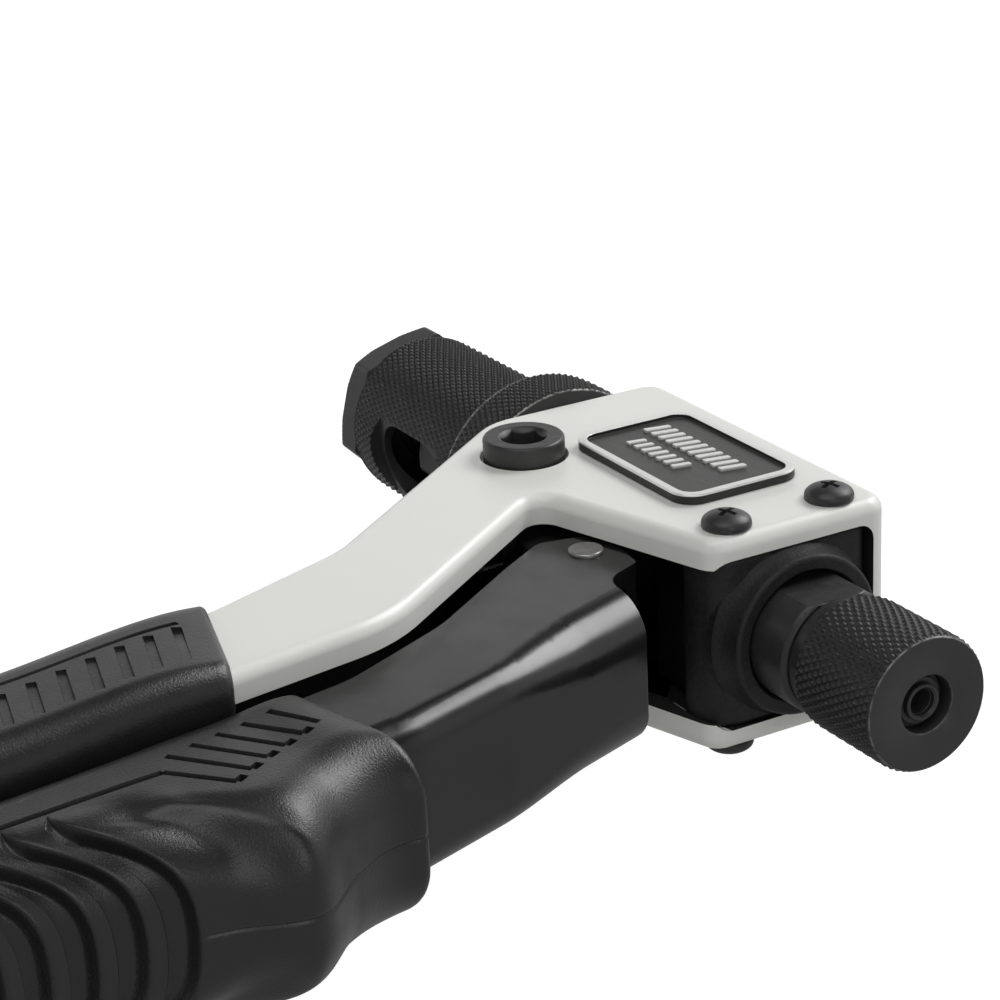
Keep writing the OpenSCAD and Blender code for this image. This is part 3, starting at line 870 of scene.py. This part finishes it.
def fixed_grip():
    """Grip over the frame's arm, with a long groove and a ladder of sunk panels on each face"""
    stations = np.array(FIXED_GRIP)
    rim = 1.2
    first, last = end_steps(grip_keys(stations)[-1], rim)
    at = np.concatenate([first, np.arange(first[-1] + 1, last[0] - 0.5, 1.5), last])
    columns = section_columns((30, 30, 30, 30), (12, 16))
    rings = grip_points(stations, np.repeat(at[:, None], len(columns), 1), columns, rim)
    body = loft("fixed_grip_cover", rings)
    height = grip_height(stations)
    panels, grooves = [], []
    for side in (1, -1):
        for i in range(PANEL_COUNT):
            ends = [start + i * step for start, step in zip(PANEL_START, PANEL_STEP)]
            panels.append(trench(ends, 1.5, 0.42, height, side, floor=0.8))
        grooves.append(trench([[-2.3, 93.8], [-6.8, 121.8], [-29.5, 250]], 0.95, 0.6, height, side))
    cut(body, joined("panels", panels), *grooves)
    tang = slab("tang", rounded(inset(FRAME_PLAN, [-0.02] * len(FRAME_PLAN))), -HALF_T, HALF_T, soft=2.2)
    mouth = [[-90, 262, 1], [-60, 84, 1], [-18.6, 84, 1], [-22, 98, 1], [-51, 262, 1]]
    cut(body, tang, slab("slot", rounded(mouth, 1.5), -13.2, 13.2))
    shade(body, 38, weighted=False)
    piece(body, "frame", "grip_rubber", RUBBER, "fixed_grip")


RIB_PITCH = 6.3
RIB_START = 48.6         # along the middle line
RIB_COUNT = 23
GROOVE_W = 4.4           # width of a groove between ribs
# One groove between two ribs: [distance behind its front edge, depth]
RIB_GROOVE = np.array([
    [0, 0], [0.12, 0.06], [0.45, 0.6], [0.9, 1.4], [1.3, 1.95], [1.6, 2.15], [1.9, 2.2], [3.0, 2.2],
    [3.95, 2.2], [4.12, 2.05], [4.28, 0.15], [GROOVE_W, 0], [5.0, 0], [5.7, 0],
])
RIB_SWEEP = 11.5         # how far a rib runs forward from its top to the near side
TYPICAL_SECTION = [12.3, 15.5, 7, 11]      # half width, half height, far radius, near radius
SLOTS_NEAR = [[-32.4, 87.1], [-34.3, 90.4], [-36.0, 93.8], [-38.2, 97.4], [-40.7, 100.8], [-43.2, 104.1]]
SLOTS_FAR = [[-25.6, 91.4], [-26.9, 95.9], [-28.3, 100.3], [-30.0, 104.7], [-31.7, 108.9], [-36.0, 111.2]]
LONG_GROOVE = [[-36.0, 111.2], [-37.7, 122.2], [-39.8, 136], [-43.2, 152], [-56.2, 215], [-68, 268]]
SHOULDER = [[-58, 100.5], [-54, 101.5], [-50.7, 105.8], [-46.5, 110.7], [-44.5, 114.5]]


def shoulder_swell(points):
    """Proud edge, hollow and swelling where the front of the lever grip meets the finger ribs"""
    curve = np.array(SHOULDER)
    behind = points[..., 1] - np.interp(points[..., 0], curve[:, 0], curve[:, 1])
    upper = smoothstep(2, 9, np.abs(points[..., 2])) * (1 - smoothstep(-45.5, -38.5, points[..., 0]))
    swell = 0.2 * hill(behind, -1.0, 1.5) - 0.8 * hill(behind, 4.0, 3.0) + 0.5 * hill(behind, 11.5, 3.5)
    return swell * upper


def lever_grip():
    """Grip on the lever: slots at the front, a swelling for the hand and rings of finger ribs"""
    stations = np.array(LEVER_GRIP)
    length = grip_keys(stations)[-1]
    rim = 1.6
    first, last = end_steps(length, rim)
    ribs = [RIB_START + k * RIB_PITCH + RIB_GROOVE[:, 0] for k in range(RIB_COUNT)]
    tail = np.arange(ribs[-1][-1] + 1, last[0] - 0.6, 1.5)
    at = np.concatenate([first, np.arange(first[-1] + 0.5, RIB_START - 0.3, 0.5), *ribs, tail, last])
    columns = section_columns((56, 44, 56, 24), (12, 30))
    typical = np.einsum("cij,j->ci", columns, TYPICAL_SECTION)
    across, high = typical[:, 0], np.abs(typical[:, 1]) / TYPICAL_SECTION[1]
    round_the_side = smoothstep(0, 1, (-1.5 - across) / 10.8)
    far_side = across.clip(0, 20)
    swing = 0.2 * far_side - RIB_SWEEP * round_the_side * (1 - 0.4 * high ** 2)
    opened = np.clip((-0.3 - across) / 5.5, 0, 1)
    local = np.mod(at - RIB_START, RIB_PITCH)[:, None]
    inside = ((at >= RIB_START - 1e-6) & (at <= ribs[-1][-1] + 1e-6))[:, None]
    narrowed = np.where(local < GROOVE_W, local * opened,
                        GROOVE_W * opened + (local - GROOVE_W) / (RIB_PITCH - GROOVE_W)
                        * (RIB_PITCH - GROOVE_W * opened))
    ends = smoothstep(0, 20, at) * smoothstep(0, 20, length - at)
    place = at[:, None] + swing[None] * ends[:, None] + np.where(inside, narrowed - local, 0)
    rings = grip_points(stations, place, columns, rim)
    depth = np.interp(local[:, 0], RIB_GROOVE[:, 0], RIB_GROOVE[:, 1])[:, None] * opened[None] * inside
    seam = 0.2 * hill(rings[..., 2], 0, 0.25) * (across < -8) * ~inside
    rings = rings + ring_normals(rings) * (shoulder_swell(rings) - depth - seam)[..., None]
    body = loft("lever_grip_cover", rings)
    height = grip_height(stations)
    near, far = np.array(SLOTS_NEAR), np.array(SLOTS_FAR)
    slots = list(zip(near, far))
    hooks = [[end, end + 0.5 * (before - end)] for before, end in zip(near, near[1:])]
    for side in (1, -1):
        cut(body, *[trench(run, 1.3, 0.75, height, side, floor=0.6) for run in (*slots, *hooks, LONG_GROOVE)])
    shade(body, 42, weighted=False)
    piece(body, "lever", "grip_rubber", RUBBER, "lever_grip")


# ---- turned parts ---------------------------------------------------------------------------

KNURL_W = 1.27           # a diamond's width round the part
KNURL_L = 2.2            # and its length along the part
KNURL_CUT = 0.5
PER_TOOTH = 6


def tooth(u):
    """0 in a groove and 1 on a crest, every whole number"""
    return 1 - 2 * np.abs(u - np.round(u))


def knurled(name, before, x0, x1, radius, after, chamfer=0.5):
    """Turned part with a closed profile whose stretch x0 to x1 has a diamond knurl

    before and after hold [x, radius, wear] rings, where wear is 1 on a rim that is rubbed bright.
    """
    teeth = round(TAU * radius / KNURL_W)
    sides = teeth * PER_TOOTH
    turn = np.linspace(0, TAU, sides, endpoint=False)
    length = abs(x1 - x0)
    rings, crests, wear = [], [], []

    def plain(profile):
        for x, r, worn in profile:
            rings.append((x, np.broadcast_to(r, (sides,))))
            crests.append(np.zeros(sides))
            wear.append(np.full(sides, worn))

    plain(before)
    for row in np.arange(0, length + 1e-6, KNURL_L / PER_TOOTH):
        phase = turn / TAU * teeth
        height = np.minimum(tooth(phase + row / KNURL_L), tooth(phase - row / KNURL_L))
        height = np.minimum(height / 0.85, 1)
        ramp = min(1.0, (row + 0.1) / chamfer, (length - row + 0.1) / chamfer)
        top = radius - 0.35 * (1 - ramp)
        rings.append((x0 + math.copysign(row, x1 - x0), np.minimum(radius - KNURL_CUT * (1 - height), top)))
        crests.append(height)
        wear.append(np.zeros(sides))
    plain(after)
    points = [np.stack([np.full(sides, x), r * np.cos(turn), r * np.sin(turn)], 1) for x, r in rings]
    obj = loft(name, points, closed=True)
    for attribute, values in (("crest", crests), ("worn", wear)):
        layer = obj.data.attributes.new(attribute, "FLOAT", "POINT")
        layer.data.foreach_set("value", np.concatenate(values).astype(np.float32))
    return obj


def spin_knob():
    """Knob with a bored rear face"""
    rear, front = -51.25, -33.25
    before = [[front, 4.05, 0], [front, 9.6, 0], [front - 0.12, 9.95, 1], [front - 0.32, 10.35, 1]]
    after = [[rear + 0.2, 10.42, 0], [rear + 0.1, 10.34, 0.5], [rear, 10.26, 0.2], [rear, 10.1, 0],
             [rear, 4.75, 0], [rear + 0.15, 4.6, 0.2], [rear + 0.4, 4.52, 0], [rear + 3.2, 4.5, 0],
             [rear + 3.2, 4.05, 0]]
    obj = knurled("knob", before, front - 0.35, rear + 0.35, 10.8, after, 0.45)
    shade(obj, 50, weighted=False)
    piece(obj, "spindle", "black_oxide", OXIDE, "spin_knob")


def spindle_end():
    """Thin tube end of the spindle and the ring that keeps the knob on it"""
    rear = -49.5
    wall = [[rear - 0.9, 2.4], [rear - 0.9, 2.75], [rear - 0.75, 2.9], [rear + 1.4, 2.95],
            [rear + 1.4, 2.1], [rear - 0.6, 2.1]]
    tube = revolve("spindle_bell", wall, 96)
    shade(tube, 35)
    piece(tube, "spindle", "black_oxide", OXIDE)
    section = [[rear + 1.45, 3.1], [rear + 0.85, 3.1], [rear + 0.85, 4.3], [rear + 1.0, 4.45],
               [rear + 1.45, 4.45]]
    ring = revolve("retaining_ring", section, 96)
    shade(ring, 35)
    piece(ring, "spindle", "black_oxide", OXIDE)


def lock_ring():
    """Short knurled ring behind the sleeve"""
    rear, front = 48.5, 58.7
    before = [[rear, 12.06, 0], [rear, 18.7, 0], [rear + 0.12, 18.95, 1]]
    after = [[front - 0.12, 18.95, 1], [front, 18.7, 0], [front, 12.06, 0]]
    obj = knurled("ring", before, rear + 0.35, front - 0.35, 19.4, after)
    shade(obj, 50, weighted=False)
    piece(obj, "lock_ring", "black_oxide", OXIDE, "lock_ring")


def nose_sleeve():
    """Knurled sleeve with a hexagon end and a window that is stepped inwards"""
    knurl, corner = 15.2, 15.4
    sides = round(TAU * knurl / KNURL_W) * PER_TOOTH
    turn = np.linspace(0, TAU, sides, endpoint=False)
    hexagon = hex_radius(turn - math.radians(44), 27, corner)
    after = [[98.9, 15.0, 0], [99.25, 14.6, 0], [99.3, np.minimum(hexagon, 14.6), 0], [99.5, hexagon, 0]]
    after += [[x, hexagon, 0] for x in np.linspace(99.9, 104.5, 6)]
    after += [[x, np.minimum(hexagon, corner - (x - 104.6) * 1.1), 0] for x in np.linspace(104.6, 105.9, 6)]
    after += [[106, np.minimum(hexagon, 13.8), 0], [106, 7.6, 0], [95, 7.6, 0], [95, 11.6, 0],
              [66, 11.6, 0], [66, 12.06, 0]]
    before = [[59, 12.06, 0], [59, 14.5, 0], [59.15, 14.75, 1]]
    obj = knurled("sleeve", before, 59.3, 98.7, knurl, after)
    lean = Matrix.Rotation(math.radians(-9.5), 3, "X")
    ends = np.linspace(-math.pi / 2, math.pi / 2, 32)
    for radius, low in ((9.3, 12.9), (7.2, 0)):
        plan = [[83.8 + radius * math.cos(a), radius * math.sin(a)] for a in ends]
        plan += [[75.2 - radius * math.cos(a), -radius * math.sin(a)] for a in ends]
        rings = [[[x, y, z] for x, z in plan] for y in np.linspace(low, 25, 5)]
        cut(obj, loft("window", np.array(rings) @ np.array(lean).T))
    shade(obj, 40, weighted=False)
    piece(obj, "nose_sleeve", "black_oxide", OXIDE, "nose_sleeve")


def mandrel():
    """Plain shank and a rolled thread, with a centre mark in its tip"""
    pitch, crest, root = 1.25, 4.0, 0.62
    sides = 60
    turn = np.linspace(0, TAU, sides, endpoint=False)
    profile = [(76.2, np.full(sides, 3.75)), (100, np.full(sides, 3.75))]
    for x in np.arange(100.4, 118.9, pitch / 9):
        wave = np.clip(1.25 * tooth(x / pitch - turn / TAU), 0, 1)
        run_in = smoothstep(100, 102.5, x)
        tip = 0.75 * smoothstep(118.1, 118.9, x)
        profile.append((x, np.minimum(crest - root * (1 - wave) * run_in, crest - tip)))
    profile += [(119, np.full(sides, 3.05)), (119, np.full(sides, 1.0)), (118.2, np.full(sides, 0.15))]
    points = [np.stack([np.full(sides, x), r * np.cos(turn), r * np.sin(turn)], 1) for x, r in profile]
    body = loft("threaded_mandrel", points)
    shade(body, 40, weighted=False)
    piece(body, "spindle", "zinc_steel", ZINC, "mandrel")


# ---- carried-over CAD nodes -----------------------------------------------------------------

CAD_LOOKS = {
    "pivot_bush": (ZINC, 0.1), "pivot_washers": (ZINC, 0.1), "nose_barrel": (OXIDE, 0.2),
    "nosepiece": (ZINC, 0.2), "yoke_plates": (OXIDE, 0.3), "pull_rod": (OXIDE, 0.25),
    "thrust_washer": (OXIDE, 0.2), "spindle": (OXIDE, 0.15), "spindle_clip": (ZINC, 0.1),
    "mandrel_holder": (OXIDE, 0.3),
}


def dress(node, material, width):
    """Gives a CAD node its material and breaks its sharp edges"""
    obj = frame["nodes"][node]
    for slot in obj.material_slots:
        slot.material = material
    if not obj.material_slots:
        obj.data.materials.append(material)
    weld = obj.modifiers.new("weld", "WELD")
    weld.merge_threshold = 0.005 * MM
    merge = obj.modifiers.new("merge", "DECIMATE")
    merge.decimate_type = "DISSOLVE"
    merge.angle_limit = math.radians(1)
    bevel = obj.modifiers.new("bevel", "BEVEL")
    bevel.width = width * MM
    bevel.segments = 2
    bevel.limit_method = "ANGLE"
    bevel.angle_limit = math.radians(40)
    bevel.harden_normals = True


# ---- stage ----------------------------------------------------------------------------------

def stage():
    """Floor under the object"""
    bpy.ops.mesh.primitive_plane_add(size=6, location=(0, 0, cad_box[0].z))
    floor = bpy.context.object
    floor.name = "floor"
    floor.data.materials.append(pale_floor())


def softbox(name, direction, distance, size, power, target):
    """Area light that points at the target from a direction"""
    light = bpy.data.lights.new(name, "AREA")
    light.shape = "RECTANGLE"
    light.size, light.size_y = size
    light.energy = power
    obj = bpy.data.objects.new(name, light)
    bpy.context.scene.collection.objects.link(obj)
    direction = Vector(direction).normalized()
    obj.location = target + direction * distance
    obj.rotation_euler = direction.to_track_quat("Z", "Y").to_euler()


BEHIND_CAMERA = 0.40     # strength of the surroundings on the camera's side


def lights():
    """Three soft boxes and a white horizon that darkens overhead and behind the camera"""
    target = Vector((-0.08, 0.04, 0))
    softbox("key", (0.05, -0.75, 0.65), 1.0, (0.6, 0.45), 6.5, target)
    softbox("overhead", (-0.3, 0.3, 1.0), 1.2, (1.0, 1.0), 6.4, target)
    softbox("fill", (-0.9, 0.1, 0.3), 1.4, (0.7, 0.5), 2.2, target)
    world = bpy.data.worlds.new("studio")
    bpy.context.scene.world = world
    world.use_nodes = True
    nodes, links = world.node_tree.nodes, world.node_tree.links
    place = nodes.new("ShaderNodeTexCoord").outputs["Generated"]
    split = nodes.new("ShaderNodeSeparateXYZ")
    links.new(place, split.inputs[0])
    ramp = nodes.new("ShaderNodeValToRGB")
    ramp.color_ramp.elements[0].position = 0.40
    ramp.color_ramp.elements[0].color = (1, 1, 1, 1)
    ramp.color_ramp.elements[1].position = 0.55
    ramp.color_ramp.elements[1].color = (0.05, 0.05, 0.05, 1)
    links.new(split.outputs["Z"], ramp.inputs[0])
    links.new(ramp.outputs["Color"], nodes["Background"].inputs["Color"])
    facing = nodes.new("ShaderNodeVectorMath")
    facing.operation = "DOT_PRODUCT"
    facing.inputs[1].default_value = (0.86, -0.5, 0)
    links.new(place, facing.inputs[0])
    strength = nodes.new("ShaderNodeMapRange")
    strength.inputs["From Min"].default_value = -0.3
    strength.inputs["From Max"].default_value = 0.5
    strength.inputs["To Min"].default_value = BEHIND_CAMERA
    strength.inputs["To Max"].default_value = 0.95
    links.new(facing.outputs["Value"], strength.inputs["Value"])
    links.new(strength.outputs["Result"], nodes["Background"].inputs["Strength"])


CAMERA_AT = Vector((-0.4507, 0.2297, 0.1799))
CAMERA_TO = Vector((-0.0564, 0.0102, 0.0))
CAMERA_ROLL = math.radians(-2.56)


def camera():
    """Camera at the viewing angle of the main picture"""
    cam = bpy.data.cameras.new("camera")
    cam.sensor_width = 36
    cam.lens = 101.75
    cam.clip_start = 0.01
    obj = bpy.data.objects.new("camera", cam)
    bpy.context.scene.collection.objects.link(obj)
    look = (CAMERA_TO - CAMERA_AT).to_track_quat("-Z", "Y").to_matrix()
    obj.rotation_euler = (look @ Matrix.Rotation(CAMERA_ROLL, 3, "Z")).to_euler()
    obj.location = CAMERA_AT
    bpy.context.scene.camera = obj


for build in (frame_body, head_insert, nameplate, plate_screws, pivot_bolt, pivot_nut, return_spring,
              lever_body, yoke_rivet, fixed_grip, lever_grip, spin_knob, spindle_end, lock_ring,
              nose_sleeve, mandrel):
    build()
for node, (material, width) in CAD_LOOKS.items():
    dress(node, material, width)
stage()
lights()
camera()
bpy.context.scene.view_settings.view_transform = "Standard"
